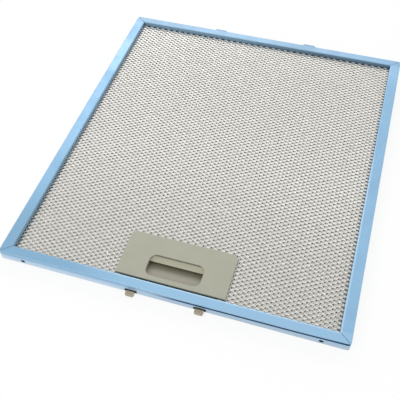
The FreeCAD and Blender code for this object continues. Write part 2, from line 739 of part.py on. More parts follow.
pieces = [make_frame()]
pieces.append(make_sheet("back_mesh", 0, True, True))
inner_count = int(number("Dims.sheet_count")) - 2
for inner_layer in range(1, inner_count + 1):
    pieces.append(make_sheet("inner_mesh_%d" % inner_layer, inner_layer, False, inner_layer % 2 == 0))
pieces.append(make_sheet("front_mesh", inner_count + 1, True, False))
pieces.append(make_handle())
pieces.append(make_cassette())
pieces.append(make_spring())
doc.recompute()

for item in doc.Objects:
    if "Invalid" in item.State or "Error" in item.State:
        raise RuntimeError("%s failed: %s" % (item.Name, item.State))
os.makedirs("parts", exist_ok=True)
for piece in pieces:
    if piece.Shape.isNull() or not piece.Shape.isValid():
        raise RuntimeError("%s has no valid shape" % piece.Label)
for piece in pieces:
    piece.Shape.exportStep("parts/%s.step" % piece.Label)
    print(piece.Label, len(piece.Shape.Solids), round(piece.Shape.Volume, 1))
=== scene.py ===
"""Looks of a cooker hood grease filter: blue-filmed folded frame, expanded-metal pack, moulded latch.

Metres. The filter lies on its back, with X along the latch side and Y towards the lugs.
"""
import math

import bpy
from mathutils import Matrix, Vector


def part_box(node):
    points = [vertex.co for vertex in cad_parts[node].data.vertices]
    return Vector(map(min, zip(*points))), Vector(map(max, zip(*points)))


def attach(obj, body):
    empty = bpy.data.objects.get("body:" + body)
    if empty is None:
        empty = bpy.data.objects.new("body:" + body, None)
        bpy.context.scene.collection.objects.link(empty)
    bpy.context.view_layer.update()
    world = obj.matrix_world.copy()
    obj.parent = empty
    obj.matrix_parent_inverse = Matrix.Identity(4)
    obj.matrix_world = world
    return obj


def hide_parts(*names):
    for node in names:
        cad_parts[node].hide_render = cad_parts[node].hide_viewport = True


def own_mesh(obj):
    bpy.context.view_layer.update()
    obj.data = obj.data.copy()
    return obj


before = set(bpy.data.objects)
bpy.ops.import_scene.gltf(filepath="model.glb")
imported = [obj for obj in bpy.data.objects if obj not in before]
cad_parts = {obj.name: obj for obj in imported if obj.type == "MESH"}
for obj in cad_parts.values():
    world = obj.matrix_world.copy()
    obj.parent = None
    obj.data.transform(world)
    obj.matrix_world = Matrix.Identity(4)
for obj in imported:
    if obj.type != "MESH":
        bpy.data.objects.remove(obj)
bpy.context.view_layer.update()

MM = 0.001
SAME_PLACE = 0.01 * MM


def mm(*lengths):
    """Lengths in millimetres, as metres."""
    return tuple(length * MM for length in lengths)


def span(place, start, end):
    """Two limits, in millimetres from a place."""
    return place + start * MM, place + end * MM


# Meshes

def active(obj):
    """Make one object the only selected and active one."""
    bpy.ops.object.select_all(action="DESELECT")
    obj.select_set(True)
    bpy.context.view_layer.objects.active = obj


def edit(obj, chosen=None):
    """Enter edit mode with every vertex selected, or those that pass a test."""
    active(obj)
    for polygon in obj.data.polygons:
        polygon.select = False
    for edge in obj.data.edges:
        edge.select = False
    for vertex in obj.data.vertices:
        vertex.select = chosen is None or chosen(vertex.co)
    bpy.ops.object.mode_set(mode="EDIT")
    bpy.ops.mesh.select_mode(type="VERT")
    if chosen is None:
        bpy.ops.mesh.select_all(action="SELECT")


def leave_edit():
    """Go back to object mode."""
    bpy.ops.object.mode_set(mode="OBJECT")


def apply_modifier(obj, kind, **settings):
    """Add a modifier with its settings and apply it."""
    active(obj)
    modifier = obj.modifiers.new(kind.lower(), kind)
    for name, value in settings.items():
        setattr(modifier, name, value)
    bpy.ops.object.modifier_apply(modifier=modifier.name)


def array(obj, count, step):
    """Repeat a mesh a number of times, each a step from the last."""
    apply_modifier(
        obj,
        "ARRAY",
        count=count,
        use_relative_offset=False,
        use_constant_offset=True,
        constant_offset_displace=step,
    )


def smooth(obj, degrees):
    """Shade a mesh smooth, except over edges sharper than an angle."""
    active(obj)
    bpy.ops.object.shade_smooth_by_angle(angle=math.radians(degrees))


# Expanded-metal sheets

STRAND_GAUGE = 0.36 * MM
UNEVENNESS = 0.1 * MM


class Weave:
    """Pitch both ways of an expanded sheet, and its strands' width, bond length and tilt."""

    def __init__(self, long_way, short_way, width, bond, tilt):
        self.long_way = long_way * MM
        self.short_way = short_way * MM
        self.width = width * MM
        self.bond = bond * MM
        self.tilt = math.radians(tilt)


FINE = Weave(long_way=6.08, short_way=3.66, width=0.8, bond=2.2, tilt=-8.0)
COARSE = Weave(long_way=12.16, short_way=7.32, width=2.6, bond=4.4, tilt=-3.0)

# Half width and rear edge of the room cut for the latch cassette, with its flange and without
CASSETTE_FLANGE = 4.0 * MM
NOTCH_PLAY = 0.5 * MM
_, cassette_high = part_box("latch_cassette")
FLANGE_NOTCH = (cassette_high.x + NOTCH_PLAY, cassette_high.y + NOTCH_PLAY)
NOTCH = (FLANGE_NOTCH[0] - CASSETTE_FLANGE, FLANGE_NOTCH[1] - CASSETTE_FLANGE)


def expanded_sheet(name, node, weave, notch, shift, seed):
    """One sheet: a bond and its two upper strands, repeated over the node's outline; shift in mm."""
    low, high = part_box(node)
    long_way, short_way = weave.long_way, weave.short_way
    bpy.ops.object.select_all(action="DESELECT")
    bpy.ops.mesh.primitive_grid_add(x_subdivisions=1, y_subdivisions=2, size=1.0)
    sheet = bpy.context.active_object
    sheet.name = name
    edit(sheet)
    bpy.ops.transform.resize(value=(weave.bond, 2 * weave.width, 1.0))
    bpy.ops.transform.rotate(value=weave.tilt, orient_axis="X", center_override=(0.0, 0.0, 0.0))
    leave_edit()
    rise = max((vertex.co for vertex in sheet.data.vertices), key=lambda co: co.y).z
    span_x = long_way / 2 - weave.bond
    span_y = short_way / 2 - weave.width * math.cos(weave.tilt)
    for side in (-1, 1):
        edge_x = side * weave.bond / 2
        edit(sheet, lambda co: abs(co.x - edge_x) < SAME_PLACE and co.y > -SAME_PLACE)
        step = (side * span_x, span_y, -rise)
        bpy.ops.mesh.extrude_region_move(TRANSFORM_OT_translate={"value": step})
        leave_edit()

    array(sheet, 2, (long_way / 2, short_way / 2, 0.0))
    columns = math.ceil((high.x - low.x) / long_way) + 2
    rows = math.ceil((high.y - low.y) / short_way) + 2
    array(sheet, columns, (long_way, 0.0, 0.0))
    array(sheet, rows, (0.0, short_way, 0.0))
    thickness = 2 * abs(rise) + STRAND_GAUGE
    shift_x, shift_y = mm(*shift)
    start = (low.x - long_way + shift_x, low.y - short_way + shift_y, high.z - thickness / 2)
    edit(sheet)
    bpy.ops.mesh.remove_doubles(threshold=SAME_PLACE)
    bpy.ops.transform.translate(value=start)
    for corner, normal in (
        (low, (-1.0, 0.0, 0.0)),
        (low, (0.0, -1.0, 0.0)),
        (high, (1.0, 0.0, 0.0)),
        (high, (0.0, 1.0, 0.0)),
    ):
        bpy.ops.mesh.select_all(action="SELECT")
        bpy.ops.mesh.bisect(plane_co=corner, plane_no=normal, clear_outer=True)
    leave_edit()

    half, rear = notch
    edit(sheet, lambda co: abs(co.x) < half and co.y < rear)
    bpy.ops.mesh.delete(type="VERT")
    bpy.ops.mesh.select_all(action="SELECT")
    bpy.ops.transform.vertex_random(offset=UNEVENNESS, seed=seed)
    leave_edit()
    apply_modifier(sheet, "SOLIDIFY", thickness=STRAND_GAUGE, offset=0.0)
    smooth(sheet, 40.0)
    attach(sheet, "filter")
    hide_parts(node)
    return sheet


front_sheet = expanded_sheet("front_strands", "front_mesh", FINE, NOTCH, (0.0, 0.0), seed=3)
second_sheet = expanded_sheet("inner_strands_3", "inner_mesh_3", FINE, NOTCH, (-2.06, 0.66), seed=5)
third_sheet = expanded_sheet("inner_strands_2", "inner_mesh_2", FINE, FLANGE_NOTCH, (1.66, 1.36), seed=7)
coarse_sheet = expanded_sheet("inner_strands_1", "inner_mesh_1", COARSE, NOTCH, (4.1, 2.3), seed=11)
back_sheet = expanded_sheet("back_strands", "back_mesh", FINE, NOTCH, (2.6, 0.6), seed=13)


# Return spring


def bowed_leaf():
    """Leaf spring copied from its node, merged and shaded smooth; the real one flattens against the
    cassette's rear wall as the latch is drawn back, but this copy keeps its bow.
    """
    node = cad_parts["return_spring"]
    leaf = bpy.data.objects.new("bowed_leaf", node.data.copy())
    bpy.context.scene.collection.objects.link(leaf)
    leaf.data.transform(node.matrix_world)
    edit(leaf)
    bpy.ops.mesh.remove_doubles(threshold=SAME_PLACE)
    leave_edit()
    smooth(leaf, 30.0)
    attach(leaf, "filter")
    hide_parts("return_spring")
    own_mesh(leaf)
    return leaf


leaf_spring = bowed_leaf()


# Places on the frame

frame_low, frame_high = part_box("frame")
FRAME_X = frame_high.x
FRAME_Y = -frame_low.y
FRAME_TOP = frame_high.z
FRAME_CORNER = 2.4 * MM
FRAME_GAUGE = 0.5 * MM
OPENING_X = FRAME_X - 8.9 * MM
OPENING_Y = FRAME_Y - 7.7 * MM
LIP_FOOT = FRAME_TOP - 4.2 * MM
TONGUE_X = 26.4 * MM
SLOT_HALF = 4.7 * MM
SLOT_TOP = 3.8 * MM
DRAIN_X = 113.7 * MM
DRAIN_LEVEL = 3.3 * MM
DRAIN_STRAIGHT = 0.4 * MM
DRAIN_RADIUS = 1.0 * MM

# Places on the handle

_, handle_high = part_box("handle")
PLATE_TOP = handle_high.z
PLATE_FRONT = handle_high.y - 39.3 * MM
SCOOP_FRONT = PLATE_FRONT + 3.9 * MM
SCOOP_REAR = SCOOP_FRONT + 18.6 * MM
GRIP_FRONT = SCOOP_REAR - 5.2 * MM
GRIP_TOP = PLATE_TOP - 2.4 * MM

# Limits between which a tone changes over

# Across the near flange, where painted light and the painted edge highlight rise from left to right
PAINTED_LIGHT_RISES = mm(-90.0, -20.0)
FAR_FADES = mm(115.0, 60.0)
LEFT_ALONG = mm(-70.0, -125.0)
LEFT_ACROSS = mm(-110.0, -124.0)
HIGHLIGHT_ALONG = mm(60.0, -20.0)
HIGHLIGHT_WIDTH = mm(1.8, 0.8)
WALL_TURNS = mm(-50.0, 10.0)
WALL_FALLS = mm(8.0, 1.0)
WALL_FOLDS = mm(5.0, 8.2)
# Where the dark line along the near wall lies
DARK_LINE_LEVEL = mm(5.4, 7.35)
DARK_LINE_STARTS = mm(-20.0, 15.0)
DARK_LINE_SLOPES = mm(0.0, 90.0)
DARK_LINE_TURNS_UP = mm(85.0, 135.0)
LIP_TURNS = mm(-40.0, 60.0)
LIP_INSET = mm(2.2, 2.35)
SHEET_DULLS = mm(0.0, -140.0)
EDGE_SHADE_SPREADS = mm(0.0, 2.5)

# Display colours; a pair is the low and high tone of one finish

FILM = ((136, 179, 212), (146, 188, 221))
# Painted light and shade on the flanges: darker at the near left, on the far side and at the left rail's
# near end, paler at the near right
FILM_NEAR_LEFT = (128, 170, 201)
FILM_NEAR_RIGHT = (150, 191, 222)
FILM_FAR = (132, 166, 193)
FILM_LEFT = (129, 171, 202)
# Painted highlight along the folded edge of the opening
FILM_EDGE_HIGHLIGHT = (176, 210, 235)
# Dark line along the near wall below the fold
FILM_DARK_LINE = (0, 64, 106)
# Painted light in the channel's corners, against the dark of the mitre seams
CORNER_PAINTED_LIGHT = (196, 224, 246)
# Painted light and shade on the outer wall: paler at its foot and at the left, darker near the fold
WALL_LEFT_TOP = (158, 193, 222)
WALL_LEFT_LOW = (194, 219, 241)
WALL_LEFT_FOLD = (136, 175, 206)
WALL_RIGHT_TOP = (156, 189, 215)
WALL_RIGHT_LOW = (176, 200, 221)
WALL_FOOT = (140, 152, 160)
# Painted shade, near black, in the near wall's slots and around its drain holes
HOLE_SHADE = (18, 22, 26)
LUG = (122, 154, 180)
# Painted light and shade on the lip: lighter at the left, darker at the right
LIP_LEFT = (142, 177, 202)
LIP_RIGHT = (115, 147, 170)
LIP_SHADE = (58, 82, 102)
# Painted shade, near black, inside the channel
INSIDE_SHADE = (34, 38, 42)
FRONT_STRANDS = ((220, 219, 213), (250, 249, 246))
# Darker copies of the front strands' aluminium for the sheets beneath it: painted shade
SECOND_STRANDS_SHADED = ((206, 204, 198), (230, 228, 223))
SHADED_STRANDS = ((182, 180, 174), (206, 204, 198))
SHEET_DULL = (194, 192, 185)
# Painted glints on the strands
SHEET_GLINT = (255, 254, 250)
# Painted shade on the strands where they run in under the channel's edge
SHEET_EDGE_SHADE = (50, 62, 84)
MOULDING = ((167, 167, 151), (170, 170, 154))
# Painted shade in the scoop, darker towards the cavity under the grip
SCOOP_FLOOR = (154, 151, 135)
SCOOP_DEEP = (114, 112, 94)
SCOOP_CAVITY = (112, 110, 90)
# Painted shade at the scoop's rear step
SCOOP_STEP_SHADE = (128, 126, 110)
# Painted light on the grip's slope
GRIP_LIGHT = (175, 173, 152)
# Painted shade on the grip's front face
GRIP_FRONT_SHADE = (84, 82, 64)
# Painted shade on the plate's front face, in the gap under the flange
PLATE_FRONT_SHADE = (146, 144, 130)
TONGUE = (182, 169, 146)
# Painted shade, near black, on the tongues inside the slots
TONGUE_ROOT_SHADE = (48, 45, 38)
DARK_MOULDING = ((24, 24, 23), (30, 30, 29))
STEEL = ((120, 120, 122), (140, 140, 142))
FLOOR = ((249, 249, 249), (252, 252, 252))


# Nodes

def new_material(name):
    """Empty node material with one Principled surface."""
    material = bpy.data.materials.new(name)
    material.use_nodes = True
    surface = material.node_tree.nodes["Principled BSDF"]
    return material, material.node_tree, surface


def new_group(name, inputs, outputs):
    """Shader node group with named sockets, and its inlet and outlet."""
    group = bpy.data.node_groups.new(name, "ShaderNodeTree")
    for label, kind in inputs:
        group.interface.new_socket(label, in_out="INPUT", socket_type=kind)
    for label, kind in outputs:
        group.interface.new_socket(label, in_out="OUTPUT", socket_type=kind)
    return group, group.nodes.new("NodeGroupInput"), group.nodes.new("NodeGroupOutput")


def placed(tree, group):
    """Instance of a node group in a material, or in another group."""
    item = tree.nodes.new("ShaderNodeGroup")
    item.node_tree = group
    return item


def add(tree, kind, **values):
    """Add a node and set its properties and input values by name."""
    item = tree.nodes.new(kind)
    for name, value in values.items():
        if name in item.inputs:
            item.inputs[name].default_value = value
        else:
            setattr(item, name, value)
    return item


def linear(red, green, blue):
    """Scene colour of an 8-bit display colour, by the sRGB curve."""
    result = []
    for value in (red, green, blue):
        share = value / 255
        result.append(share / 12.92 if share <= 0.04045 else ((share + 0.055) / 1.055) ** 2.4)
    return (*result, 1.0)


def feed(tree, value, socket):
    """Give an input socket a link from another socket, or a plain value."""
    if isinstance(value, bpy.types.NodeSocket):
        tree.links.new(value, socket)
    else:
        socket.default_value = value


def paint(tree, colour, socket):
    """Give a colour socket a link from another socket, or a display colour."""
    feed(tree, linear(*colour) if isinstance(colour, tuple) else colour, socket)


def calc(tree, operation, first, second=0.0):
    """Result of a Math node on two sockets or numbers."""
    item = add(tree, "ShaderNodeMath", operation=operation)
    feed(tree, first, item.inputs[0])
    feed(tree, second, item.inputs[1])
    return item.outputs["Value"]


def ramp(tree, value, start, end, first=0.0, last=1.0):
    """Value carried smoothly from one level to another between two limits."""
    item = add(tree, "ShaderNodeMapRange", interpolation_type="SMOOTHSTEP")
    item.inputs["From Min"].default_value = start
    item.inputs["From Max"].default_value = end
    item.inputs["To Min"].default_value = first
    item.inputs["To Max"].default_value = last
    tree.links.new(value, item.inputs["Value"])
    return item.outputs["Result"]


def both(tree, first, *others):
    """Mask that is full where each of several masks is."""
    for other in others:
        first = calc(tree, "MULTIPLY", first, other)
    return first


def band(tree, value, start, end, soft=0.2 * MM):
    """Mask that is full between two limits, with soft edges."""
    return both(tree, ramp(tree, value, start - soft, start), ramp(tree, value, end + soft, end))


def diagonal(tree, *sides):
    """Length of the diagonal over two distances at right angles."""
    squares = [calc(tree, "MULTIPLY", side, side) for side in sides]
    return calc(tree, "SQRT", calc(tree, "ADD", *squares))


def mixed(tree, mask, under, over):
    """Colour laid over another by a mask; each is a socket or a display colour."""
    item = add(tree, "ShaderNodeMix", data_type="RGBA")
    feed(tree, mask, item.inputs["Factor"])
    colours = [entry for entry in item.inputs if entry.type == "RGBA"]
    for colour, socket in zip((under, over), colours):
        paint(tree, colour, socket)
    return [entry for entry in item.outputs if entry.type == "RGBA"][0]


def places(tree):
    """Object coordinates as three values."""
    place = add(tree, "ShaderNodeTexCoord")
    axes = add(tree, "ShaderNodeSeparateXYZ")
    tree.links.new(place.outputs["Object"], axes.inputs["Vector"])
    return axes.outputs["X"], axes.outputs["Y"], axes.outputs["Z"]


def frame_inset(tree, across, along):
    """Distance in from the frame's round-cornered outline."""
    past = []
    for value, half in ((across, FRAME_X), (along, FRAME_Y)):
        distance = calc(tree, "SUBTRACT", calc(tree, "ABSOLUTE", value), half - FRAME_CORNER)
        past.append(calc(tree, "MAXIMUM", distance, 0.0))
    return calc(tree, "SUBTRACT", FRAME_CORNER, diagonal(tree, *past))


def beyond(tree, across, along, half_x, half_y):
    """Distance out from the edge of a rectangle about the middle."""
    past_x = calc(tree, "SUBTRACT", calc(tree, "ABSOLUTE", across), half_x)
    past_y = calc(tree, "SUBTRACT", calc(tree, "ABSOLUTE", along), half_y)
    return calc(tree, "MAXIMUM", past_x, past_y)


# Finishes that several materials share

GRAIN_HEIGHT = 0.1 * MM


def tone_group():
    """Colour that drifts between two tones by a noise of a given size."""
    group, inlet, outlet = new_group(
        "drifting_tone",
        [("Low", "NodeSocketColor"), ("High", "NodeSocketColor"), ("Scale", "NodeSocketFloat")],
        [("Color", "NodeSocketColor"), ("Drift", "NodeSocketFloat")],
    )
    place = add(group, "ShaderNodeTexCoord")
    noise = add(group, "ShaderNodeTexNoise", Detail=4.0, Roughness=0.55)
    group.links.new(place.outputs["Object"], noise.inputs["Vector"])
    group.links.new(inlet.outputs["Scale"], noise.inputs["Scale"])
    drift = ramp(group, noise.outputs["Fac"], 0.3, 0.7)
    tone = mixed(group, drift, inlet.outputs["Low"], inlet.outputs["High"])
    group.links.new(tone, outlet.inputs["Color"])
    group.links.new(drift, outlet.inputs["Drift"])
    return group


def grain_group():
    """Fine unevenness of a surface by a noise of a given size."""
    group, inlet, outlet = new_group(
        "fine_grain", [("Scale", "NodeSocketFloat")], [("Height", "NodeSocketFloat")]
    )
    place = add(group, "ShaderNodeTexCoord")
    noise = add(group, "ShaderNodeTexNoise", Detail=3.0)
    group.links.new(place.outputs["Object"], noise.inputs["Vector"])
    group.links.new(inlet.outputs["Scale"], noise.inputs["Scale"])
    group.links.new(noise.outputs["Fac"], outlet.inputs["Height"])
    return group


TONE = tone_group()
GRAIN = grain_group()


def drifting(tree, tones, scale):
    """Drifting tone between a low and a high colour, each a socket or a display colour."""
    item = placed(tree, TONE)
    for colour, label in zip(tones, ("Low", "High")):
        paint(tree, colour, item.inputs[label])
    item.inputs["Scale"].default_value = scale
    return item


def drifting_gloss(tree, drift, roughness, spread):
    """Roughness that falls by a spread either way as the tone drifts from low to high."""
    return ramp(tree, drift, 0.0, 1.0, roughness + spread, roughness - spread)


def lay_finish(tree, surface, tone, gloss, metallic, grain_scale, grain_strength):
    """Give a surface its colour, gloss and metal, and a fine grain as a bump."""
    tree.links.new(tone, surface.inputs["Base Color"])
    tree.links.new(gloss, surface.inputs["Roughness"])
    surface.inputs["Metallic"].default_value = metallic
    grain = placed(tree, GRAIN)
    grain.inputs["Scale"].default_value = grain_scale
    bump = add(tree, "ShaderNodeBump", Strength=grain_strength, Distance=GRAIN_HEIGHT)
    tree.links.new(grain.outputs["Height"], bump.inputs["Height"])
    tree.links.new(bump.outputs["Normal"], surface.inputs["Normal"])


def tinted(name, tones, scale, metallic, roughness, grain_scale, grain_strength):
    """Material of one finish whose tone and gloss drift over a finely uneven surface."""
    material, tree, surface = new_material(name)
    flat = drifting(tree, tones, scale)
    gloss = drifting_gloss(tree, flat.outputs["Drift"], roughness, spread=0.05)
    lay_finish(tree, surface, flat.outputs["Color"], gloss, metallic, grain_scale, grain_strength)
    return material


# Film on the frame

def flange_light_and_shade(tree, tone, across, along):
    """Film on the flanges, with painted light and shade: the near flange darker at its left and paler
    towards its right-hand end, the far flange darker except towards its right-hand end, and the left
    flange darker at its near end.
    """
    near = ramp(tree, along, *span(-OPENING_Y, 1.3, 0.3))
    near_tone = mixed(tree, ramp(tree, across, *PAINTED_LIGHT_RISES), FILM_NEAR_LEFT, FILM_NEAR_RIGHT)
    tone = mixed(tree, calc(tree, "MULTIPLY", near, 0.9), tone, near_tone)
    far = both(
        tree,
        ramp(tree, along, *span(OPENING_Y, -1.3, -0.3)),
        ramp(tree, across, *FAR_FADES, 0.4, 1.0),
    )
    tone = mixed(tree, far, tone, FILM_FAR)
    left = both(tree, ramp(tree, along, *LEFT_ALONG), ramp(tree, across, *LEFT_ACROSS))
    return mixed(tree, left, tone, FILM_LEFT)


def edge_highlight(tree, across, along, height):
    """Mask of a painted highlight along the folded edge of the opening."""
    return both(
        tree,
        ramp(tree, beyond(tree, across, along, OPENING_X, OPENING_Y), *HIGHLIGHT_WIDTH),
        ramp(tree, height, *span(FRAME_TOP, -1.0, -0.6)),
        ramp(tree, along, *HIGHLIGHT_ALONG),
        ramp(tree, across, *PAINTED_LIGHT_RISES, 0.0, 0.8),
    )


def wall_light_and_shade(tree, across, height):
    """Film on the outer wall, with painted light and shade: paler towards its foot and its left-hand
    end, and darker near the fold at the left.
    """
    fall = ramp(tree, height, *WALL_FALLS)
    left = mixed(tree, fall, WALL_LEFT_TOP, WALL_LEFT_LOW)
    left = mixed(tree, ramp(tree, height, *WALL_FOLDS), left, WALL_LEFT_FOLD)
    right = mixed(tree, fall, WALL_RIGHT_TOP, WALL_RIGHT_LOW)
    return mixed(tree, ramp(tree, across, *WALL_TURNS), left, right)


def dark_line_mask(tree, across, along, height):
    """Mask of a dark line along the near wall below the fold, which climbs to the right and fades out to
    the left.
    """
    slope = ramp(tree, across, *DARK_LINE_SLOPES, 0.0, 0.45 * MM)
    turn_up = ramp(tree, across, *DARK_LINE_TURNS_UP, 0.0, 0.95 * MM)
    level = calc(tree, "SUBTRACT", height, calc(tree, "ADD", slope, turn_up))
    return both(
        tree,
        band(tree, level, *DARK_LINE_LEVEL, 0.12 * MM),
        ramp(tree, across, *DARK_LINE_STARTS),
        ramp(tree, along, *span(-FRAME_Y, 0.9, 0.6)),
    )


def hole_shade(tree, across, along, height):
    """Mask of painted shade, near black, filling the near wall's tongue slots and ringing its drain
    holes.
    """
    from_middle = calc(tree, "ABSOLUTE", across)
    slot_side = calc(tree, "ABSOLUTE", calc(tree, "SUBTRACT", from_middle, TONGUE_X))
    slots = both(
        tree,
        ramp(tree, slot_side, *span(SLOT_HALF, 0.12, 0.04)),
        band(tree, height, FRAME_GAUGE + 0.05 * MM, SLOT_TOP + 0.04 * MM, 0.06 * MM),
    )
    drain_side = calc(tree, "ABSOLUTE", calc(tree, "SUBTRACT", from_middle, DRAIN_X))
    drain_side = calc(tree, "MAXIMUM", calc(tree, "SUBTRACT", drain_side, DRAIN_STRAIGHT), 0.0)
    drain_rise = calc(tree, "SUBTRACT", height, DRAIN_LEVEL)
    drain_reach = diagonal(tree, drain_side, drain_rise)
    drains = ramp(tree, drain_reach, *span(DRAIN_RADIUS, 0.45, 0.25))
    near_wall = ramp(tree, along, *span(-FRAME_Y, 1.2, 0.9))
    return both(tree, near_wall, calc(tree, "MAXIMUM", slots, drains))


def lip_tone(tree, across, height):
    """Film on the turned-in lip, painted darker towards the right and with painted shade towards the
    mesh at its foot.
    """
    tone = mixed(tree, ramp(tree, across, *LIP_TURNS), LIP_LEFT, LIP_RIGHT)
    return mixed(tree, ramp(tree, height, *span(LIP_FOOT, 2.2, 0.4), 0.0, 0.5), tone, LIP_SHADE)


def inside_light_and_shade(tree, across, along):
    """Painted shade, near black, on the channel's inside faces, with painted light at the four corners
    where the mitre seams would show dark.
    """
    corner = both(
        tree,
        ramp(tree, calc(tree, "ABSOLUTE", across), *span(FRAME_X, -14.0, -10.0)),
        ramp(tree, calc(tree, "ABSOLUTE", along), *span(FRAME_Y, -14.0, -10.0)),
    )
    return mixed(tree, corner, INSIDE_SHADE, CORNER_PAINTED_LIGHT)


def film_material():
    """Pale blue film on the channel, with a dark line along the near wall and painted shade, near black,
    on the channel's inside faces.
    """
    material, tree, surface = new_material("blue_film")
    across, along, height = places(tree)
    inset = frame_inset(tree, across, along)
    flat = drifting(tree, FILM, scale=40.0)
    tone = flange_light_and_shade(tree, flat.outputs["Color"], across, along)
    # Painted highlight along the opening's folded edge
    tone = mixed(tree, edge_highlight(tree, across, along, height), tone, FILM_EDGE_HIGHLIGHT)
    wall = ramp(tree, inset, *span(FRAME_GAUGE, -0.05, -0.35))
    tone = mixed(tree, wall, tone, wall_light_and_shade(tree, across, height))
    dark_line = dark_line_mask(tree, across, along, height)
    tone = mixed(tree, dark_line, tone, FILM_DARK_LINE)
    # Painted shade in the slots and around the drain holes
    tone = mixed(tree, hole_shade(tree, across, along, height), tone, HOLE_SHADE)
    lugs = ramp(tree, along, *span(FRAME_Y, 0.2, 0.5))
    tone = mixed(tree, lugs, tone, LUG)
    foot = both(tree, wall, ramp(tree, height, *span(FRAME_GAUGE, 0.5, 0.0)))
    tone = mixed(tree, foot, tone, WALL_FOOT)

    lip = both(
        tree,
        ramp(tree, inset, *LIP_INSET),
        band(tree, height, LIP_FOOT, FRAME_TOP - 0.9 * MM, 0.3 * MM),
    )
    tone = mixed(tree, lip, tone, lip_tone(tree, across, height))
    # Painted shade inside the channel, with painted light at the corners
    inside = both(
        tree,
        ramp(tree, inset, *span(FRAME_GAUGE, -0.2, -0.05)),
        band(tree, height, FRAME_GAUGE - 0.05 * MM, FRAME_TOP - FRAME_GAUGE - 0.2 * MM, 0.15 * MM),
    )
    inside = calc(tree, "MAXIMUM", calc(tree, "SUBTRACT", inside, lip), 0.0)
    tone = mixed(tree, inside, tone, inside_light_and_shade(tree, across, along))

    # The dark line is dull
    gloss = drifting_gloss(tree, flat.outputs["Drift"], 0.35, spread=0.05)
    gloss = calc(tree, "MAXIMUM", gloss, calc(tree, "MULTIPLY", dark_line, 0.8))
    lay_finish(tree, surface, tone, gloss, metallic=0.35, grain_scale=220.0, grain_strength=0.06)
    return material


# Expanded aluminium

def sheet_group():
    """Bare sheet with painted glints, duller towards the latch side, and dark painted shade where it
    runs in under the channel's edge.
    """
    group, inlet, outlet = new_group(
        "sheet_glints_and_shade",
        [("Low", "NodeSocketColor"), ("High", "NodeSocketColor"), ("Shade Reach", "NodeSocketFloat")],
        [("Color", "NodeSocketColor"), ("Drift", "NodeSocketFloat")],
    )
    tones = (inlet.outputs["Low"], inlet.outputs["High"])
    across, along, _ = places(group)
    flat = drifting(group, tones, scale=450.0)
    dull = ramp(group, along, *SHEET_DULLS, 0.0, 0.5)
    tone = mixed(group, dull, flat.outputs["Color"], SHEET_DULL)
    # Painted glints: sparse near-white spots in the colour
    glint = ramp(group, drifting(group, tones, scale=900.0).outputs["Drift"], 0.82, 1.0)
    tone = mixed(group, glint, tone, SHEET_GLINT)
    # Painted shade on the strands near and under the channel's edge
    edge = beyond(group, across, along, OPENING_X, OPENING_Y)
    edge_shade = ramp(group, calc(group, "ADD", edge, inlet.outputs["Shade Reach"]), *EDGE_SHADE_SPREADS)
    tone = mixed(group, edge_shade, tone, SHEET_EDGE_SHADE)
    group.links.new(tone, outlet.inputs["Color"])
    group.links.new(flat.outputs["Drift"], outlet.inputs["Drift"])
    return group


SHEET = sheet_group()


def sheet_metal(name, tones, roughness, shade_reach):
    """Expanded aluminium between two display colours, with painted shade that reaches a given distance
    out from under the channel's edge.
    """
    material, tree, surface = new_material(name)
    flat = placed(tree, SHEET)
    for colour, label in zip(tones, ("Low", "High")):
        paint(tree, colour, flat.inputs[label])
    flat.inputs["Shade Reach"].default_value = shade_reach
    gloss = drifting_gloss(tree, flat.outputs["Drift"], roughness, spread=0.06)
    tone = flat.outputs["Color"]
    lay_finish(tree, surface, tone, gloss, metallic=0.6, grain_scale=1500.0, grain_strength=0.1)
    return material


# Moulding of the handle

def scoop_mask(tree, along, height):
    """Mask of the scoop's floor, which runs on under the grip."""
    open_top = PLATE_TOP - 1.25 * MM
    under_grip = GRIP_TOP - 1.1 * MM
    top = ramp(tree, along, *span(GRIP_FRONT, -0.6, -0.1), open_top, under_grip)
    return both(
        tree,
        band(tree, along, SCOOP_FRONT + 0.2 * MM, SCOOP_REAR + 0.8 * MM, 0.35 * MM),
        calc(tree, "LESS_THAN", height, top),
    )


def scoop_shade(tree, along):
    """Painted shade on the scoop's floor, darker towards the cavity under the grip."""
    floor_shade = mixed(tree, ramp(tree, along, *span(GRIP_FRONT, -8.2, -0.8)), SCOOP_FLOOR, SCOOP_DEEP)
    return mixed(tree, ramp(tree, along, *span(GRIP_FRONT, -1.4, 0.4)), floor_shade, SCOOP_CAVITY)


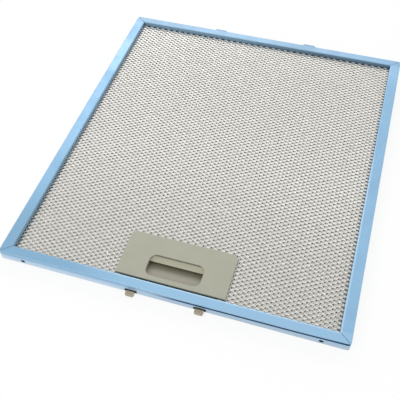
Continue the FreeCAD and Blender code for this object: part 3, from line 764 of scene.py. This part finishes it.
def moulding_material():
    """Grey-beige moulding with a fine grain, browned on the tongues, with painted shade in the scoop, on
    the grip's front, at the scoop's step, on the plate's front edge and on the tongues' roots, and
    painted light on the grip.
    """
    material, tree, surface = new_material("grey_beige_moulding")
    _, along, height = places(tree)
    flat = drifting(tree, MOULDING, scale=60.0)
    scoop = scoop_mask(tree, along, height)
    tone = mixed(tree, scoop, flat.outputs["Color"], scoop_shade(tree, along))
    # Painted light on the grip's slope
    grip = both(
        tree,
        band(tree, along, GRIP_FRONT, SCOOP_REAR - 1.0 * MM),
        band(tree, height, *span(GRIP_TOP, -0.1, 1.1)),
    )
    tone = mixed(tree, grip, tone, GRIP_LIGHT)
    # Painted shade on the grip's front face
    grip_front_shade = both(
        tree,
        band(tree, along, *span(GRIP_FRONT, -0.1, 0.01), 0.015 * MM),
        ramp(tree, height, *span(GRIP_TOP, 0.3, 0.1)),
    )
    tone = mixed(tree, grip_front_shade, tone, GRIP_FRONT_SHADE)
    # Painted shade at the scoop's rear step
    step_shade = both(
        tree,
        band(tree, along, *span(SCOOP_REAR, -0.5, 0.2)),
        band(tree, height, GRIP_TOP + 0.3 * MM, PLATE_TOP - 0.4 * MM),
    )
    tone = mixed(tree, step_shade, tone, SCOOP_STEP_SHADE)
    # Painted shade on the plate's front face
    plate_front_shade = both(
        tree,
        ramp(tree, along, *span(PLATE_FRONT, 0.4, 0.1)),
        band(tree, height, *span(PLATE_TOP, -1.7, -0.25)),
    )
    tone = mixed(tree, plate_front_shade, tone, PLATE_FRONT_SHADE)

    # Painted shade, near black, on the tongues where they pass into the slots
    tone = mixed(tree, ramp(tree, along, *span(-FRAME_Y, 1.0, 0.0)), tone, TONGUE)
    tongue_root_shade = both(
        tree,
        ramp(tree, height, *span(SLOT_TOP, -0.4, -0.6)),
        band(tree, along, *span(-FRAME_Y, -0.4, 6.5), 0.4 * MM),
    )
    tone = mixed(tree, tongue_root_shade, tone, TONGUE_ROOT_SHADE)
    gloss = drifting_gloss(tree, flat.outputs["Drift"], 0.5, spread=0.02)
    lay_finish(tree, surface, tone, gloss, metallic=0.0, grain_scale=900.0, grain_strength=0.12)
    return material


# Dressing

film = film_material()
strand_metal = sheet_metal("strand_aluminium", FRONT_STRANDS, roughness=0.32, shade_reach=0.2 * MM)
# The sheets under the front one get darker copies of its aluminium: painted shade
second_metal_shaded = sheet_metal("second_sheet_shaded_aluminium", SECOND_STRANDS_SHADED, roughness=0.36, shade_reach=1.8 * MM)
shaded_metal = sheet_metal("shaded_aluminium", SHADED_STRANDS, roughness=0.4, shade_reach=1.8 * MM)
moulding = moulding_material()
dark_moulding = tinted(
    "dark_moulding",
    DARK_MOULDING,
    scale=120.0,
    metallic=0.0,
    roughness=0.55,
    grain_scale=900.0,
    grain_strength=0.12,
)
steel = tinted(
    "spring_steel",
    STEEL,
    scale=90.0,
    metallic=1.0,
    roughness=0.35,
    grain_scale=600.0,
    grain_strength=0.05,
)


def dress(obj, material):
    """Give an object one material."""
    obj.data.materials.clear()
    obj.data.materials.append(material)


for sheet in (front_sheet, back_sheet):
    dress(sheet, strand_metal)
dress(second_sheet, second_metal_shaded)
for sheet in (third_sheet, coarse_sheet):
    dress(sheet, shaded_metal)
dress(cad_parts["frame"], film)
dress(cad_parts["handle"], moulding)
dress(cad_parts["latch_cassette"], dark_moulding)
dress(leaf_spring, steel)


# Studio

CAMERA_PLACE = (0.0972, -0.3615, 0.4072)
CAMERA_TURN = 19.188
CAMERA_DIP = 51.636
CAMERA_ROLL = -2.174
FLOOR_SIZE = 6.0
FLOOR_DROP = 0.2 * MM
FLOOR_GLOW = 0.85
SURROUND = 0.72
EXTRA_BEHIND = 0.45


def make_camera():
    """Camera where the photograph was taken from."""
    data = bpy.data.cameras.new("camera")
    data.sensor_width = 36.0
    data.lens = 57.2
    data.shift_x = 0.01785
    data.clip_start = 0.01
    camera = bpy.data.objects.new("camera", data)
    bpy.context.scene.collection.objects.link(camera)
    turn = Matrix.Rotation(math.radians(CAMERA_TURN), 4, "Z")
    tilt = Matrix.Rotation(math.radians(90.0 - CAMERA_DIP), 4, "X")
    roll = Matrix.Rotation(math.radians(CAMERA_ROLL), 4, "Z")
    camera.matrix_world = Matrix.Translation(CAMERA_PLACE) @ turn @ tilt @ roll
    bpy.context.scene.camera = camera


def background_share(tree):
    """Share of rays that see the studio's white background: camera, glossy and transmission rays."""
    path = add(tree, "ShaderNodeLightPath")
    seen = calc(tree, "MAXIMUM", path.outputs["Is Camera Ray"], path.outputs["Is Glossy Ray"])
    return calc(tree, "MAXIMUM", seen, path.outputs["Is Transmission Ray"])


def make_floor():
    """Plain floor, seen mostly as white outside the filter; the rest is left to take the shadow."""
    bpy.ops.object.select_all(action="DESELECT")
    bpy.ops.mesh.primitive_plane_add(size=FLOOR_SIZE, location=(0.0, 0.0, -FLOOR_DROP))
    floor = bpy.context.active_object
    floor.name = "floor"
    material = tinted(
        "floor_white",
        FLOOR,
        scale=2.0,
        metallic=0.0,
        roughness=0.9,
        grain_scale=30.0,
        grain_strength=0.02,
    )
    tree = material.node_tree
    glow = add(tree, "ShaderNodeEmission", Strength=1.0)
    blend = add(tree, "ShaderNodeMixShader")
    across, along, _ = places(tree)
    outside = ramp(tree, beyond(tree, across, along, FRAME_X, FRAME_Y), -1.0 * MM, 0.0, 0.0, FLOOR_GLOW)
    tree.links.new(calc(tree, "MULTIPLY", background_share(tree), outside), blend.inputs["Fac"])
    tree.links.new(tree.nodes["Principled BSDF"].outputs["BSDF"], blend.inputs[1])
    tree.links.new(glow.outputs["Emission"], blend.inputs[2])
    tree.links.new(blend.outputs["Shader"], tree.nodes["Material Output"].inputs["Surface"])
    dress(floor, material)


def make_world():
    """White surroundings, brighter behind the filter than in front of it."""
    world = bpy.data.worlds.new("studio")
    bpy.context.scene.world = world
    world.use_nodes = True
    tree = world.node_tree
    tree.nodes.clear()
    place = add(tree, "ShaderNodeTexCoord")
    axes = add(tree, "ShaderNodeSeparateXYZ")
    tree.links.new(place.outputs["Generated"], axes.inputs["Vector"])
    behind = both(
        tree,
        ramp(tree, axes.outputs["Y"], -0.1, 0.7),
        ramp(tree, axes.outputs["Z"], 0.85, 0.5),
    )
    level = calc(tree, "ADD", calc(tree, "MULTIPLY", behind, EXTRA_BEHIND), SURROUND)
    strength = add(tree, "ShaderNodeMix", B=1.0)
    tree.links.new(background_share(tree), strength.inputs["Factor"])
    tree.links.new(level, strength.inputs["A"])
    glow = add(tree, "ShaderNodeBackground", Color=(1.0, 1.0, 1.0, 1.0))
    outlet = add(tree, "ShaderNodeOutputWorld")
    tree.links.new(strength.outputs["Result"], glow.inputs["Strength"])
    tree.links.new(glow.outputs["Background"], outlet.inputs["Surface"])


def make_softbox(name, place, width, height, power):
    """Rectangular soft lamp aimed at the middle of the filter."""
    data = bpy.data.lights.new(name, "AREA")
    data.shape = "RECTANGLE"
    data.size = width
    data.size_y = height
    data.energy = power
    lamp = bpy.data.objects.new(name, data)
    bpy.context.scene.collection.objects.link(lamp)
    lamp.location = place
    lamp.rotation_euler = (-Vector(place)).to_track_quat("-Z", "Y").to_euler()


make_camera()
make_floor()
make_world()
make_softbox("rear_box", (-0.4, 1.0, 0.7), width=1.1, height=0.4, power=3.2)
make_softbox("front_box", (-0.6, -0.8, 1.0), width=0.8, height=0.8, power=4.0)
bpy.context.scene.view_settings.view_transform = "Standard"
